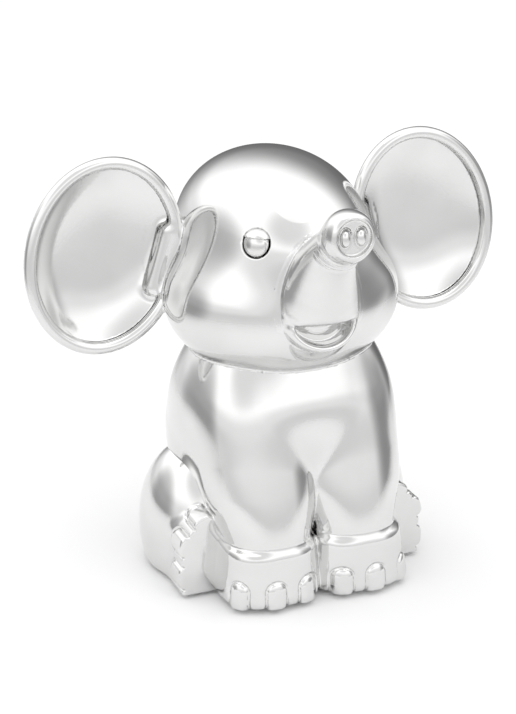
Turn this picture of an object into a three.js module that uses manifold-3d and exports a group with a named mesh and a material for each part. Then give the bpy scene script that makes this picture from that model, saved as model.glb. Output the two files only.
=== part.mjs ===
// A seated elephant money box: hollow silver-plated castings with a coin slot in the back and a
// push-in plug in the base. Millimetres, +Z up, the face looks along -Y, the figure is symmetric in X.
import * as THREE from "three";
import { mergeVertices } from "three/addons/utils/BufferGeometryUtils.js";
import Module from "manifold-3d";

const wasm = await Module();
wasm.setup();

// ---- Driving sizes ----
const WALL = 2.2; // casting wall
const GAP = 0.3; // clearance between neighbouring pieces
const PAD_T = 1.0; // felt pad under each foot
const COIN_D = 25.75; // largest coin that the bank takes
const COIN_T = 2.2;
const NECK_Z = 80; // flat neck table that the head stands on
const NECK_FLOOR = 2.4; // head floor over the neck table

const TORSO = { at: [0, 5, 0.575 * NECK_Z], r: [36, 31, 0.55 * NECK_Z] };
const RUMP_Z = 18;
const RUMP_HALF_H = 20;
const RUMP_SQUARE = 5;
const FORELEG = { knee: [15.5, -10, 48], kneeR: 20, ankle: [15, -20.5, 14], ankleR: 14.6 };
const FOREFOOT = { at: [14.4, -27, 8], r: [14.4, 15, 10] };
const HAUNCH = { at: [28.3, 1, 15], r: [17.6, 25, 27.5] };
const HINDFOOT = { x: 29.3, front: -21.5, width: 25, straight: 15, height: 26, depth: 24 };
const SKULL = { at: [0, 6.6, NECK_Z + 29.2], r: [29.9, 40.1, 27.8] };
const CHEEKS = { at: [0, -2, NECK_Z + 12], r: [38.1, 32.1, 25.6] };
const SEAM_Y = 10; // plane where the front and rear castings of the body meet
const HEAD_SEAM_Y = 20; // the same for the head

const EAR = { y: 8.5, z: NECK_Z + 27.3, halfWidth: 25.7, halfHeight: 31.5, tuck: 0.5 };
const EAR_LEAN = 14; // degrees, top towards the head
const EAR_PITCH = 5; // degrees, top backwards
const EAR_DISH = 6.5; // depth of the dish behind its rim
const EAR_T = 2.4;
const RIM_R = 2.1; // rolled edge of the ear
const EYE = { x: 16.5, z: NECK_Z + 36.7, r: 4.0, pin: 1.6, depth: 4.2 };
const TRUNK_ROOT_R = 13.4;
const TRUNK_WAIST_R = 6.4;
const TRUNK_TIP_R = 7.2;
const MOUTH = { z: NECK_Z + 8.2, r: [10.6, 9.5, 5.2], tuck: 1.5 };

const SLOT_W = COIN_D + 6.25;
const SLOT_H = COIN_T + 2.8;
const SLOT_Z = 61;
const PLUG_HOLE_R = COIN_D / 2 + 1.7;
const PLUG_FLANGE = 1.6;
const PLUG_LIP = 1.2;
const PLUG_FLANGE_SINK = 0.8; // the plug's flange lies in a counterbore of the plate
const PLATE_T = 2.2;
const PLATE_RIM = [8, 5.8]; // plate beyond the plug hole, sideways and lengthways
const PLATE_RECESS = 0.8;
const LEDGE_T = 2.4;
const SCREW_R = 1.5; // M3
const SCREW_HEAD_R = 2.7;
const SCREW_HEAD_T = 1.9;
const SCREW_SINK = 0.9; // how deep the base screws' heads sit in the plate
const BOSS_R = 3.9;
const TAIL = { z: 30, r: 4.2, length: 17, out: 1.6 };
const PULL_NOTCH = { length: 13, width: 6, depth: 0.8 };

// Facets round each kind of shape
const BODY_SEG = [22, 12];
const LIMB_SEG = [16, 10];
const HOLLOW_SEG = [14, 8];
const SCREW_SEG = 8;
const BIG = 400;

// ---- Materials ----
const silver = new THREE.MeshStandardMaterial({ color: 0xe3e3e1, metalness: 1, roughness: 0.08 });
const steel = new THREE.MeshStandardMaterial({ color: 0x9a9c9e, metalness: 1, roughness: 0.35 });
const plastic = new THREE.MeshStandardMaterial({ color: 0x151515, metalness: 0, roughness: 0.6 });
const felt = new THREE.MeshStandardMaterial({ color: 0x20211f, metalness: 0, roughness: 0.98 });

// ---- Solids: three.js geometry in, manifold-3d booleans, three.js geometry out ----
function solid(geometry) {
  const g = geometry.clone();
  g.deleteAttribute("normal");
  g.deleteAttribute("uv");
  const merged = mergeVertices(g, 1e-4);
  const mesh = new wasm.Mesh({
    numProp: 3,
    vertProperties: new Float32Array(merged.attributes.position.array),
    triVerts: new Uint32Array(merged.index.array),
  });
  return new wasm.Manifold(mesh);
}

function geometryOf(made) {
  const m = made.getMesh();
  const g = new THREE.BufferGeometry();
  g.setAttribute("position", new THREE.BufferAttribute(new Float32Array(m.vertProperties), 3));
  g.setIndex(new THREE.BufferAttribute(new Uint32Array(m.triVerts), 1));
  g.computeVertexNormals();
  return g;
}

// An ellipsoid with its poles on Z, grown by `grow`; `square` above 2 makes its flanks upright.
function blob({ at, r, square = 2 }, grow = 0, seg = BODY_SEG) {
  const g = new THREE.SphereGeometry(1, seg[0], seg[1]);
  g.rotateX(Math.PI / 2);
  const p = g.attributes.position;
  for (let i = 0; i < p.count; i++) {
    const v = new THREE.Vector3().fromBufferAttribute(p, i);
    const round = Math.hypot(v.x, v.y);
    const z = Math.sign(v.z) * Math.abs(v.z) ** (2 / square);
    const side = round < 1e-6 ? 0 : (1 - Math.abs(z) ** square) ** 0.5 / round;
    p.setXYZ(i, v.x * side * (r[0] + grow), v.y * side * (r[1] + grow), z * (r[2] + grow));
  }
  g.translate(...at);
  return solid(g);
}

// A round-ended limb from ball a to ball b.
function limb(a, ra, b, rb, grow = 0, seg = LIMB_SEG) {
  const g = new THREE.SphereGeometry(1, seg[0], seg[1] + 1);
  g.rotateX(Math.PI / 2);
  const p = g.attributes.position;
  for (let i = 0; i < p.count; i++) {
    const top = p.getZ(i) > 0;
    const c = top ? a : b;
    const r = (top ? ra : rb) + grow;
    p.setXYZ(i, c[0] + p.getX(i) * r, c[1] + p.getY(i) * r, c[2] + p.getZ(i) * r);
  }
  return solid(g);
}

// A cylinder of radius r from point a to point b.
function rod(a, b, r, seg = 2 * SCREW_SEG) {
  const from = new THREE.Vector3(...a);
  const to = new THREE.Vector3(...b);
  const g = new THREE.CylinderGeometry(r, r, from.distanceTo(to), seg);
  const turn = new THREE.Quaternion().setFromUnitVectors(
    new THREE.Vector3(0, 1, 0),
    to.clone().sub(from).normalize(),
  );
  g.applyQuaternion(turn);
  g.translate(...from.add(to).multiplyScalar(0.5).toArray());
  return solid(g);
}

function box(low, high) {
  const size = high.map((h, i) => h - low[i]);
  const g = new THREE.BoxGeometry(...size);
  g.translate(...low.map((l, i) => l + size[i] / 2));
  return solid(g);
}

// An upright elliptic slab between two heights.
function slab(at, rx, ry, z0, z1, seg = 28) {
  const g = new THREE.CylinderGeometry(1, 1, z1 - z0, seg);
  g.rotateX(Math.PI / 2);
  g.scale(rx, ry, 1);
  g.translate(at[0], at[1], (z0 + z1) / 2);
  return solid(g);
}

const above = (z) => box([-BIG, -BIG, z], [BIG, BIG, BIG]);
const below = (z) => box([-BIG, -BIG, -BIG], [BIG, BIG, z]);
const inFront = (y) => box([-BIG, -BIG, -BIG], [BIG, y, BIG]);
const behind = (y) => box([-BIG, y, -BIG], [BIG, BIG, BIG]);
const union = (list) => list.reduce((a, b) => a.add(b));
const mirrorX = (v, side) => [v[0] * side, v[1], v[2]];

// How far an ellipsoid reaches along axis k (0 or 1) through a point, where the other two are given.
function reach({ at, r, square = 2 }, k, other, z) {
  const j = 1 - k;
  const left = 1 - ((other - at[j]) / r[j]) ** 2 - Math.abs((z - at[2]) / r[2]) ** square;
  return r[k] * Math.sqrt(Math.max(left, 0));
}
const sideX = (blobs, y, z) => Math.max(...blobs.map((b) => reach(b, 0, y, z)));
const frontY = (blobs, x, z) => Math.min(...blobs.map((b) => b.at[1] - reach(b, 1, x, z)));
const backY = (blobs, x, z) => Math.max(...blobs.map((b) => b.at[1] + reach(b, 1, x, z)));

// ---- Screws: a pan head on a plain shank, from point `at` along `dir` ----
function screwPoints(at, dir, length) {
  const a = new THREE.Vector3(...at);
  const d = new THREE.Vector3(...dir).normalize();
  return (t) => a.clone().addScaledVector(d, t).toArray();
}
function screw({ at, dir, length }) {
  const g = new THREE.LatheGeometry(
    [
      [0, -SCREW_HEAD_T],
      [0.7 * SCREW_HEAD_R, -SCREW_HEAD_T],
      [SCREW_HEAD_R, -0.6 * SCREW_HEAD_T],
      [SCREW_HEAD_R, 0],
      [SCREW_R, 0],
      [SCREW_R, length - SCREW_R],
      [0, length],
    ].map(([x, y]) => new THREE.Vector2(x, y)),
    SCREW_SEG,
  );
  g.applyQuaternion(
    new THREE.Quaternion().setFromUnitVectors(new THREE.Vector3(0, 1, 0), new THREE.Vector3(...dir).normalize()),
  );
  g.translate(...at);
  return solid(g);
}
const screwHole = ({ at, dir, length }) => {
  const p = screwPoints(at, dir, length);
  return rod(p(-WALL), p(length + GAP), SCREW_R + GAP, SCREW_SEG);
};
const screwSeat = ({ at, dir }) => {
  const p = screwPoints(at, dir);
  return rod(p(-12), p(GAP), SCREW_HEAD_R + GAP, SCREW_SEG);
};

const parts = [];
const add = (name, made, material) => parts.push({ name, made, material });
const sides = [
  ["right", -1],
  ["left", 1],
];

// ---- Body castings ----
const floorZ = PAD_T; // underside of the silver
const plateZ = floorZ + PLATE_RECESS;
const ledgeZ = plateZ + PLATE_T + GAP;
const chamberZ = ledgeZ + LEDGE_T;
const plateRx = PLUG_HOLE_R + PLATE_RIM[0];
const plateRy = PLUG_HOLE_R + PLATE_RIM[1];
// The rump is as wide as its flat bottom needs to take the plate with a wall round it.
const seatShare = Math.sqrt(1 - ((RUMP_Z - floorZ) / RUMP_HALF_H) ** RUMP_SQUARE);
const rumpR = [plateRx, plateRy].map((r) => (r + WALL + 2 * GAP) / seatShare);
const RUMP = { at: [0, TORSO.at[1] + 3, RUMP_Z], r: [...rumpR, RUMP_HALF_H], square: RUMP_SQUARE };

const trunkBody = [TORSO, RUMP];
function bodyOuter(grow) {
  const legs = sides.flatMap(([, s]) => [
    limb(mirrorX(FORELEG.knee, s), FORELEG.kneeR, mirrorX(FORELEG.ankle, s), FORELEG.ankleR, grow),
    blob({ ...FOREFOOT, at: mirrorX(FOREFOOT.at, s) }, grow, LIMB_SEG),
  ]);
  return union([blob(TORSO, grow), blob(RUMP, grow), ...legs]);
}
function torsoOnly(grow, top) {
  return blob(TORSO, grow).subtract(above(top));
}

const neckScrews = [90, 210, 330].map((deg) => {
  const a = THREE.MathUtils.degToRad(deg);
  const r = 0.3 * TORSO.r[1];
  const at = [r * Math.cos(a), TORSO.at[1] + r * Math.sin(a), NECK_Z - WALL - GAP];
  return { at, dir: [0, 0, 1], length: 10 };
});
const baseScrews = [45, 135, 225, 315].map((deg) => {
  const a = THREE.MathUtils.degToRad(deg);
  const at = [
    0.5 * (plateRx + PLUG_HOLE_R) * Math.cos(a),
    RUMP.at[1] + 0.5 * (plateRy + PLUG_HOLE_R) * Math.sin(a),
    plateZ + SCREW_SINK,
  ];
  return { at, dir: [0, 0, 1], length: 10 };
});
const thighScrews = sides.flatMap(([name, s]) =>
  [HAUNCH.at[1] + 1, HAUNCH.at[1] + 16].map((y, i) => {
    const z = HAUNCH.at[2] + 7;
    const x = sideX(trunkBody, y, z) - WALL - 1.2;
    return { name: `thigh_screw_${name}_${i + 1}`, side: s, at: [s * x, y, z], dir: [s, 0, 0], length: 10 };
  }),
);
const tailScrew = {
  at: [0, backY(trunkBody, 0, TAIL.z) - WALL - 0.8, TAIL.z],
  dir: [0, 1, 0],
  length: WALL + TAIL.out + 3,
};

const bodyWithFlatSeat = bodyOuter(0).subtract(above(NECK_Z)).subtract(below(floorZ));
const chamber = union([TORSO, RUMP].map((b) => blob(b, -WALL, LIMB_SEG))).subtract(above(NECK_Z - WALL));
const legHollows = union(
  sides.flatMap(([, s]) => [
    limb(mirrorX(FORELEG.knee, s), FORELEG.kneeR, mirrorX(FORELEG.ankle, s), FORELEG.ankleR, -WALL, HOLLOW_SEG),
  ]),
);
const bodyHollow = chamber.add(legHollows).subtract(below(chamberZ));
const bodyBosses = union(
  baseScrews.map(({ at }) => rod([at[0], at[1], ledgeZ], [at[0], at[1], at[2] + 13], BOSS_R, 12)),
);
const slotCutter = box(
  [-SLOT_W / 2, TORSO.at[1] + 10, SLOT_Z - SLOT_H / 2],
  [SLOT_W / 2, TORSO.at[1] + BIG, SLOT_Z + SLOT_H / 2],
);
const plugWell = slab([0, RUMP.at[1]], PLUG_HOLE_R + WALL, PLUG_HOLE_R + WALL, -BIG / 4, chamberZ + 1);
const platePocket = slab([0, RUMP.at[1]], plateRx + GAP, plateRy + GAP, -BIG / 4, ledgeZ);

let body = bodyWithFlatSeat
  .subtract(bodyHollow)
  .subtract(plugWell)
  .add(bodyBosses.subtract(plugWell))
  .subtract(platePocket)
  .subtract(slotCutter);
for (const s of [...neckScrews, ...baseScrews, ...thighScrews, tailScrew]) body = body.subtract(screwHole(s));
for (const s of [...thighScrews, tailScrew]) body = body.subtract(screwSeat(s));
add("body_front", body.intersect(inFront(SEAM_Y - GAP / 2)), silver);
add("body_rear", body.intersect(behind(SEAM_Y + GAP / 2)), silver);

// ---- Base plate, plug, screws and pads ----
const plateHole = slab([0, RUMP.at[1]], PLUG_HOLE_R, PLUG_HOLE_R, -1, ledgeZ);
const plugSeat = slab([0, RUMP.at[1]], PLUG_HOLE_R + PLUG_LIP, PLUG_HOLE_R + PLUG_LIP, -1, plateZ + PLUG_FLANGE_SINK);
let plate = slab([0, RUMP.at[1]], plateRx, plateRy, plateZ, plateZ + PLATE_T)
  .subtract(plateHole)
  .subtract(plugSeat);
for (const s of baseScrews) {
  plate = plate.subtract(screwHole(s)).subtract(screwSeat(s));
}
add("base_plate", plate, silver);
baseScrews.forEach((s, i) => add(`base_screw_${i + 1}`, screw(s), steel));

// The plug: a cap that snaps through the hole, with a hollow skirt and a rib to pull it by.
const plugR = PLUG_HOLE_R - GAP;
const plugTop = ledgeZ + LEDGE_T - GAP;
const plugFace = plateZ - PLATE_RECESS / 2;
const plugProfile = [
  [0, plugFace + PLUG_FLANGE],
  [plugR - WALL, plugFace + PLUG_FLANGE],
  [plugR - WALL, plugTop],
  [plugR, plugTop],
  [plugR, plateZ + PLUG_FLANGE_SINK - GAP],
  [plugR + PLUG_LIP - GAP, plateZ + PLUG_FLANGE_SINK - GAP],
  [plugR + PLUG_LIP - GAP, plugFace],
  [0, plugFace],
].map(([x, y]) => new THREE.Vector2(x, y));
const plugBody = new THREE.LatheGeometry(plugProfile.reverse(), 28);
plugBody.rotateX(Math.PI / 2);
plugBody.translate(0, RUMP.at[1], 0);
const thumbNotch = box(
  [-PULL_NOTCH.length / 2, RUMP.at[1] - PULL_NOTCH.width / 2, plugFace - 1],
  [PULL_NOTCH.length / 2, RUMP.at[1] + PULL_NOTCH.width / 2, plugFace + PULL_NOTCH.depth],
);
add("base_plug", solid(plugBody).subtract(thumbNotch), plastic);

const feet = sides.flatMap(([name, s]) => [
  { name: `pad_front_${name}`, at: mirrorX(FOREFOOT.at, s), rx: 7.5, ry: 7.5 },
  { name: `pad_rear_${name}`, at: [s * (HAUNCH.at[0] + 6.5), HAUNCH.at[1] + 5, 0], rx: 6.2, ry: 9 },
]);
for (const { name, at, rx, ry } of feet) {
  add(name, slab(at, rx, ry, 0, PAD_T - GAP, 20), felt);
}

// ---- Hind legs: a hollow thigh with the foot stretched forward to a flat sole ----
function footPrism(s, grow) {
  const w = HINDFOOT.width / 2 + grow;
  const top = HINDFOOT.height + grow;
  const shape = new THREE.Shape();
  shape.moveTo(-w, -1);
  shape.lineTo(w, -1);
  shape.lineTo(w, HINDFOOT.straight);
  shape.absellipse(0, HINDFOOT.straight, w, top - HINDFOOT.straight, 0, Math.PI, false, 0);
  shape.lineTo(-w, -1);
  const g = new THREE.ExtrudeGeometry(shape, {
    depth: HINDFOOT.depth + grow,
    bevelEnabled: false,
    curveSegments: 8,
  });
  g.rotateX(Math.PI / 2);
  g.translate(s * HINDFOOT.x, HINDFOOT.front + HINDFOOT.depth, 0);
  return solid(g);
}
for (const [name, s] of sides) {
  const thigh = { ...HAUNCH, at: mirrorX(HAUNCH.at, s) };
  const own = thighScrews.filter((t) => t.side === s);
  const outer = blob(thigh).add(footPrism(s, 0));
  const hollow = blob(thigh, -WALL, HOLLOW_SEG).subtract(below(floorZ + WALL));
  const bosses = union(own.map(({ at }) => rod(at, [at[0] + s * 13, at[1], at[2]], BOSS_R, 12)));
  let leg = outer
    .subtract(hollow)
    .add(bosses.intersect(outer))
    .subtract(below(floorZ))
    .subtract(bodyOuter(GAP));
  for (const t of own) leg = leg.subtract(screwHole(t));
  add(`hind_leg_${name}`, leg, silver);
  own.forEach((t) => add(t.name, screw(t), steel));
}

// ---- Tail: a short taper that hangs against the rump ----
const tailRoot = [0, backY(trunkBody, 0, TAIL.z) + TAIL.out, TAIL.z];
const tailEnd = [0, tailRoot[1] + 3, TAIL.z - TAIL.length];
const tail = limb(tailRoot, TAIL.r, tailEnd, TAIL.r / 2, 0, [12, 8])
  .subtract(union(trunkBody.map((b) => blob(b, GAP))))
  .subtract(screwHole(tailScrew));
add("tail", tail, silver);
add("tail_screw", screw(tailScrew), steel);

// ---- Head castings ----
const face = [SKULL, CHEEKS];
const mouthAt = [0, frontY(face, 0, MOUTH.z) + MOUTH.tuck, MOUTH.z];
const mouthPocket = blob({ at: mouthAt, r: MOUTH.r }, 0, HOLLOW_SEG);
const mouthWall = blob({ at: mouthAt, r: MOUTH.r }, WALL, HOLLOW_SEG);
const headOuter = union(face.map((f) => blob(f)));
const headHollow = union(face.map((f) => blob(f, -WALL, LIMB_SEG)))
  .subtract(torsoOnly(GAP + WALL, NECK_Z + GAP + NECK_FLOOR))
  .subtract(mouthWall);
const neckBosses = union(
  neckScrews.map(({ at }) => rod([at[0], at[1], NECK_Z + GAP], [at[0], at[1], NECK_Z + 11], BOSS_R, 12)),
);

// Ears stand on the sides of the head at its widest.
const earSide = sideX(face, EAR.y, EAR.z);
const earX = earSide + EAR.halfWidth - EAR.tuck;
const earScrews = sides.flatMap(([name, s]) =>
  [-8, 8].map((dz, i) => {
    const z = EAR.z - 4 + dz;
    const x = sideX(face, EAR.y + 2, z) - WALL - 0.8;
    return { name: `ear_screw_${name}_${i + 1}`, side: s, at: [s * x, EAR.y + 2, z], dir: [s, 0, 0], length: 8 };
  }),
);
const eyes = sides.map(([name, s]) => {
  const y = frontY(face, EYE.x, EYE.z);
  const b = SKULL;
  const n = new THREE.Vector3(
    (EYE.x - b.at[0]) / b.r[0] ** 2,
    (y - b.at[1]) / b.r[1] ** 2,
    (EYE.z - b.at[2]) / b.r[2] ** 2,
  ).normalize();
  return { name: `eye_${name}`, at: [s * EYE.x, y, EYE.z], dir: [s * n.x, n.y, n.z] };
});
const trunkScrewZ = NECK_Z + 22;
const trunkScrew = {
  at: [0, frontY(face, 0, trunkScrewZ) + WALL + 1.0, trunkScrewZ],
  dir: [0, -1, 0],
  length: 9,
};
let head = headOuter
  .subtract(headHollow)
  .add(neckBosses)
  .subtract(mouthPocket)
  .subtract(bodyOuter(GAP).subtract(above(NECK_Z + GAP)));
for (const s of [...neckScrews, ...earScrews, trunkScrew]) head = head.subtract(screwHole(s));
for (const s of [...earScrews, trunkScrew]) head = head.subtract(screwSeat(s));
for (const { at, dir } of eyes) {
  const p = screwPoints(at, dir);
  head = head.subtract(rod(p(-1.2), p(5), EYE.r + GAP, 12)).subtract(rod(p(-12), p(0), EYE.pin + GAP, SCREW_SEG));
}
add("head_front", head.intersect(inFront(HEAD_SEAM_Y - GAP / 2)), silver);
add("head_rear", head.intersect(behind(HEAD_SEAM_Y + GAP / 2)), silver);
neckScrews.forEach((s, i) => add(`neck_screw_${i + 1}`, screw(s), steel));

// ---- Ears: a dish with a rolled edge ----
function earDish() {
  const { halfWidth: a } = EAR;
  const inner = a - 2 * RIM_R;
  const bowl = (t) => -EAR_DISH * (1 - t * t);
  const front = [0, 0.5, 1].map((t) => [t * inner, bowl(t) + 0.4]);
  const back = [1, 0.5, 0].map((t) => [t * (inner + 0.6), bowl(t) - EAR_T + 0.4]);
  const rim = [180, 100, 30, -40, -110].map((deg) => {
    const w = THREE.MathUtils.degToRad(deg);
    return [a - RIM_R + RIM_R * Math.cos(w), RIM_R * Math.sin(w) - 0.2];
  });
  const points = [...front, ...rim, ...back].map(([x, y]) => new THREE.Vector2(x, y));
  points[0].x = 0;
  points.at(-1).x = 0;
  const g = new THREE.LatheGeometry(points.reverse(), 28);
  g.scale(1, 1, EAR.halfHeight / a);
  return g;
}
for (const [name, s] of sides) {
  const g = earDish();
  g.scale(1, -1, 1);
  g.index.array.reverse();
  g.applyMatrix4(new THREE.Matrix4().makeRotationY(-THREE.MathUtils.degToRad(EAR_LEAN) * s));
  g.applyMatrix4(new THREE.Matrix4().makeRotationX(-THREE.MathUtils.degToRad(EAR_PITCH)));
  g.translate(s * earX, EAR.y, EAR.z);
  const root = blob({ at: [s * (earSide + 2), EAR.y + 3.2, EAR.z - 4], r: [9, 6.5, 16] }, 0, HOLLOW_SEG);
  const dishSpace = blob({ at: [s * (earX + 2), EAR.y - 6, EAR.z], r: [EAR.halfWidth - 1, 9, EAR.halfHeight - 3] }, 0, HOLLOW_SEG);
  let ear = solid(g).add(root.subtract(dishSpace)).subtract(union(face.map((f) => blob(f, GAP))));
  for (const t of earScrews.filter((q) => q.side === s)) {
    ear = ear.subtract(screwHole(t));
    add(t.name, screw(t), steel);
  }
  add(`ear_${name}`, ear, silver);
}

// ---- Eyes: a polished dome on a pin ----
for (const { name, at, dir } of eyes) {
  const dome = [75, 50, 25, 0].map((deg) => {
    const w = THREE.MathUtils.degToRad(deg);
    return [EYE.r * Math.cos(w), -0.8 + 2.4 * Math.sin(w)];
  });
  const profile = [[0, 1.6], ...dome, [EYE.pin, -0.9], [EYE.pin, -EYE.depth], [0, -EYE.depth]];
  const g = new THREE.LatheGeometry(profile.reverse().map(([x, y]) => new THREE.Vector2(x, y)), 16);
  g.applyQuaternion(new THREE.Quaternion().setFromUnitVectors(new THREE.Vector3(0, 1, 0), new THREE.Vector3(...dir)));
  g.translate(...at);
  add(name, solid(g), silver);
}

// ---- Trunk: a raised tube that flares at its tip ----
const rootY = frontY(face, 0, NECK_Z + 18);
const trunkPath = new THREE.CatmullRomCurve3([
  new THREE.Vector3(0, rootY + 8, NECK_Z + 19),
  new THREE.Vector3(0, rootY + 4.5, NECK_Z + 21.5),
  new THREE.Vector3(0, rootY - 1.5, NECK_Z + 28.5),
  new THREE.Vector3(0, rootY - 6.5, NECK_Z + 36),
  new THREE.Vector3(0, rootY - 12.5, NECK_Z + 41.5),
  new THREE.Vector3(0, rootY - 20.2, NECK_Z + 45.7),
]);
const trunkRadius = (t) => {
  const waist = THREE.MathUtils.lerp(TRUNK_ROOT_R, TRUNK_WAIST_R, THREE.MathUtils.smoothstep(t, 0.05, 0.85));
  const flare = (TRUNK_TIP_R - TRUNK_WAIST_R) * THREE.MathUtils.smoothstep(t, 0.82, 0.96);
  return waist + flare;
};
function trunkTube(grow, t1) {
  const steps = 10;
  const seg = 14;
  const g = new THREE.CylinderGeometry(1, 1, 1, seg, steps);
  const p = g.attributes.position;
  for (let i = 0; i < p.count; i++) {
    const t = (0.5 + p.getY(i)) * t1;
    const c = trunkPath.getPoint(t);
    const d = trunkPath.getTangent(t);
    const up = new THREE.Vector3(0, -d.z, d.y);
    const r = trunkRadius(t) + grow;
    const v = c.addScaledVector(new THREE.Vector3(1, 0, 0), p.getX(i) * r).addScaledVector(up, p.getZ(i) * r);
    p.setXYZ(i, v.x, v.y, v.z);
  }
  return solid(g);
}
const trunkHollow = trunkTube(-WALL - 0.6, 0.72);
const trunkBoss = rod(trunkScrew.at, [0, trunkScrew.at[1] - 12, trunkScrew.at[2]], BOSS_R, 12);
let trunk = trunkTube(0, 1).subtract(trunkHollow);
trunk = trunk
  .add(trunkBoss.intersect(trunkTube(-0.5, 1)))
  .subtract(union(face.map((f) => blob(f, GAP))))
  .subtract(screwHole(trunkScrew));
for (const s of [-1, 1]) {
  const tip = trunkPath.getPoint(1);
  const d = trunkPath.getTangent(1);
  const at = [tip.x + s * 2.6, tip.y, tip.z];
  trunk = trunk.subtract(rod(at.map((v, i) => v - d.getComponent(i) * 3), at.map((v, i) => v + d.getComponent(i)), 1.3, 8));
}
add("trunk", trunk, silver);
add("trunk_screw", screw(trunkScrew), steel);

// ---- The whole object, with its origin under the middle of its box ----
const group = new THREE.Group();
for (const { name, made, material } of parts) {
  const mesh = new THREE.Mesh(geometryOf(made), material);
  mesh.name = name;
  group.add(mesh);
}
const whole = new THREE.Box3().setFromObject(group);
group.position.y = -(whole.min.y + whole.max.y) / 2;
export default group;
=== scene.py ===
import math

import bmesh
import bpy
import numpy as np
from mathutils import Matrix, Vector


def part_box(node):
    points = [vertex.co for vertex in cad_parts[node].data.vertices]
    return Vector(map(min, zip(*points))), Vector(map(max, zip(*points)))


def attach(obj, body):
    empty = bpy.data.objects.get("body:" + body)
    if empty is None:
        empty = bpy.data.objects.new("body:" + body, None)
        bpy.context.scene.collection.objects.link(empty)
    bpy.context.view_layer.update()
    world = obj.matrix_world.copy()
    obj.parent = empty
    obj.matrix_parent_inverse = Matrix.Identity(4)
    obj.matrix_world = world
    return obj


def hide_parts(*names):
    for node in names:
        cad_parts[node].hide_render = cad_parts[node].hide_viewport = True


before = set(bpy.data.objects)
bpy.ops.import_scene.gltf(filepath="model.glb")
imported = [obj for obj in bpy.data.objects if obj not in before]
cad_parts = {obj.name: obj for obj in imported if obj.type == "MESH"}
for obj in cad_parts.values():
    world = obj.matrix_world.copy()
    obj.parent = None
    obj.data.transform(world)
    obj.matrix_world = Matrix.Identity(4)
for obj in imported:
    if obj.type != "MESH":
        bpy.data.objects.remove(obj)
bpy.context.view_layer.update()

import openvdb
from mathutils import Vector

scene = bpy.context.scene

# ---- Camera and light tent ----
# The bank stands in a white light tent, seen from its right and from above. All sizes below are in
# millimetres from the figure's own upright axis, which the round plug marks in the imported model.
plug_low, plug_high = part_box("base_plug")
PLUG_Y = 8.0
AXIS = np.array([0.0, 500 * (plug_low[1] + plug_high[1]) - PLUG_Y, 0.0])


def metres(p):
    return (np.asarray(p, float) + AXIS) / 1000


CAMERA_AT = (-208.0, -496.7, 276.0)
CAMERA_AIM = (-5.1, 5.4, 68.1)
camera_data = bpy.data.cameras.new("camera")
camera_data.lens = 90
camera_data.sensor_width = 36
camera = bpy.data.objects.new("camera", camera_data)
scene.collection.objects.link(camera)

eye_line = Vector(metres(CAMERA_AIM)) - Vector(metres(CAMERA_AT))
camera.location = metres(CAMERA_AT)
camera.rotation_euler = eye_line.to_track_quat("-Z", "Y").to_euler()
camera_data.clip_end = 20
scene.camera = camera
scene.view_settings.view_transform = "Standard"


class Sock:
    """A node socket. Arithmetic on it adds Math nodes to the same tree."""

    def __init__(self, tree, out):
        self.tree = tree
        self.out = out

    def math(self, operation, *values):
        return Tree(self.tree).node("ShaderNodeMath", {"operation": operation}, *values)

    def __add__(self, other):
        return self.math("ADD", self, other)

    def __rsub__(self, other):
        return self.math("SUBTRACT", other, self)

    def __mul__(self, other):
        return self.math("MULTIPLY", self, other)

    __radd__ = __add__


class Tree:
    """A node tree that is written as expressions."""

    def __init__(self, tree):
        self.tree = tree

    def node(self, kind, settings=None, *values, out=0, **named):
        n = self.tree.nodes.new(kind)
        for key, value in (settings or {}).items():
            if key == "stops":
                ramp = n.color_ramp
                while len(ramp.elements) < len(value):
                    ramp.elements.new(1.0)
                for element, (place, colour) in zip(ramp.elements, value):
                    element.position = place
                    element.color = (*colour, 1.0) if len(colour) == 3 else colour
            else:
                setattr(n, key, value)
        for index, value in [*enumerate(values), *named.items()]:
            socket = n.inputs[index.replace("_", " ")] if isinstance(index, str) else n.inputs[index]
            if isinstance(value, Sock):
                self.tree.links.new(value.out, socket)
            elif value is not None:
                socket.default_value = value
        self.last = n
        return Sock(self.tree, n.outputs[out]) if len(n.outputs) else n

    def ramp(self, value, *stops):
        grey = [(place, (level,) * 3) for place, level in stops]
        made = self.node("ShaderNodeValToRGB", {"stops": grey}, value)
        self.last.color_ramp.interpolation = "EASE"
        return made


world = bpy.data.worlds.new("light_tent")
scene.world = world
world.use_nodes = True
world.node_tree.nodes.clear()
tent = Tree(world.node_tree)
ray = tent.node("ShaderNodeTexCoord")
tent.node("ShaderNodeSeparateXYZ", None, ray)
upward = Sock(world.node_tree, tent.last.outputs[2])
# How bright the walls are, from the floor at 0 to the roof at 1. The ramp holds no more than 1, so
# the levels go in halved and come out doubled.
WALLS = ((0.0, 1.0), (0.36, 0.9), (0.48, 0.82), (0.56, 1.0), (0.68, 1.4), (1.0, 1.5))
tone = tent.ramp(upward * 0.5 + 0.5, *[(place, level / 2) for place, level in WALLS]) * 2
# Grey cards round the tent: direction, how far they reach as cosines, how much light they take.
CARDS = (
    ((0.60, 0.76, 0.06), 0.5, 0.98, 0.8),
    ((0.93, -0.30, 0.12), 0.84, 0.99, 0.6),
    ((-0.93, 0.35, 0.05), 0.80, 0.98, 0.5),
    ((-0.25, -0.60, 0.75), 0.82, 0.99, 0.35),
)
SMOOTH = {"interpolation_type": "SMOOTHSTEP"}
for aim, edge, full, depth in CARDS:
    toward = tuple(Vector(aim).normalized())
    facing = tent.node("ShaderNodeVectorMath", {"operation": "DOT_PRODUCT"}, ray, toward, out=1)
    card = tent.node("ShaderNodeMapRange", SMOOTH, facing, edge, full, 0.0, 1.0)
    tone = tone * (1 - card * depth)
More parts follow.
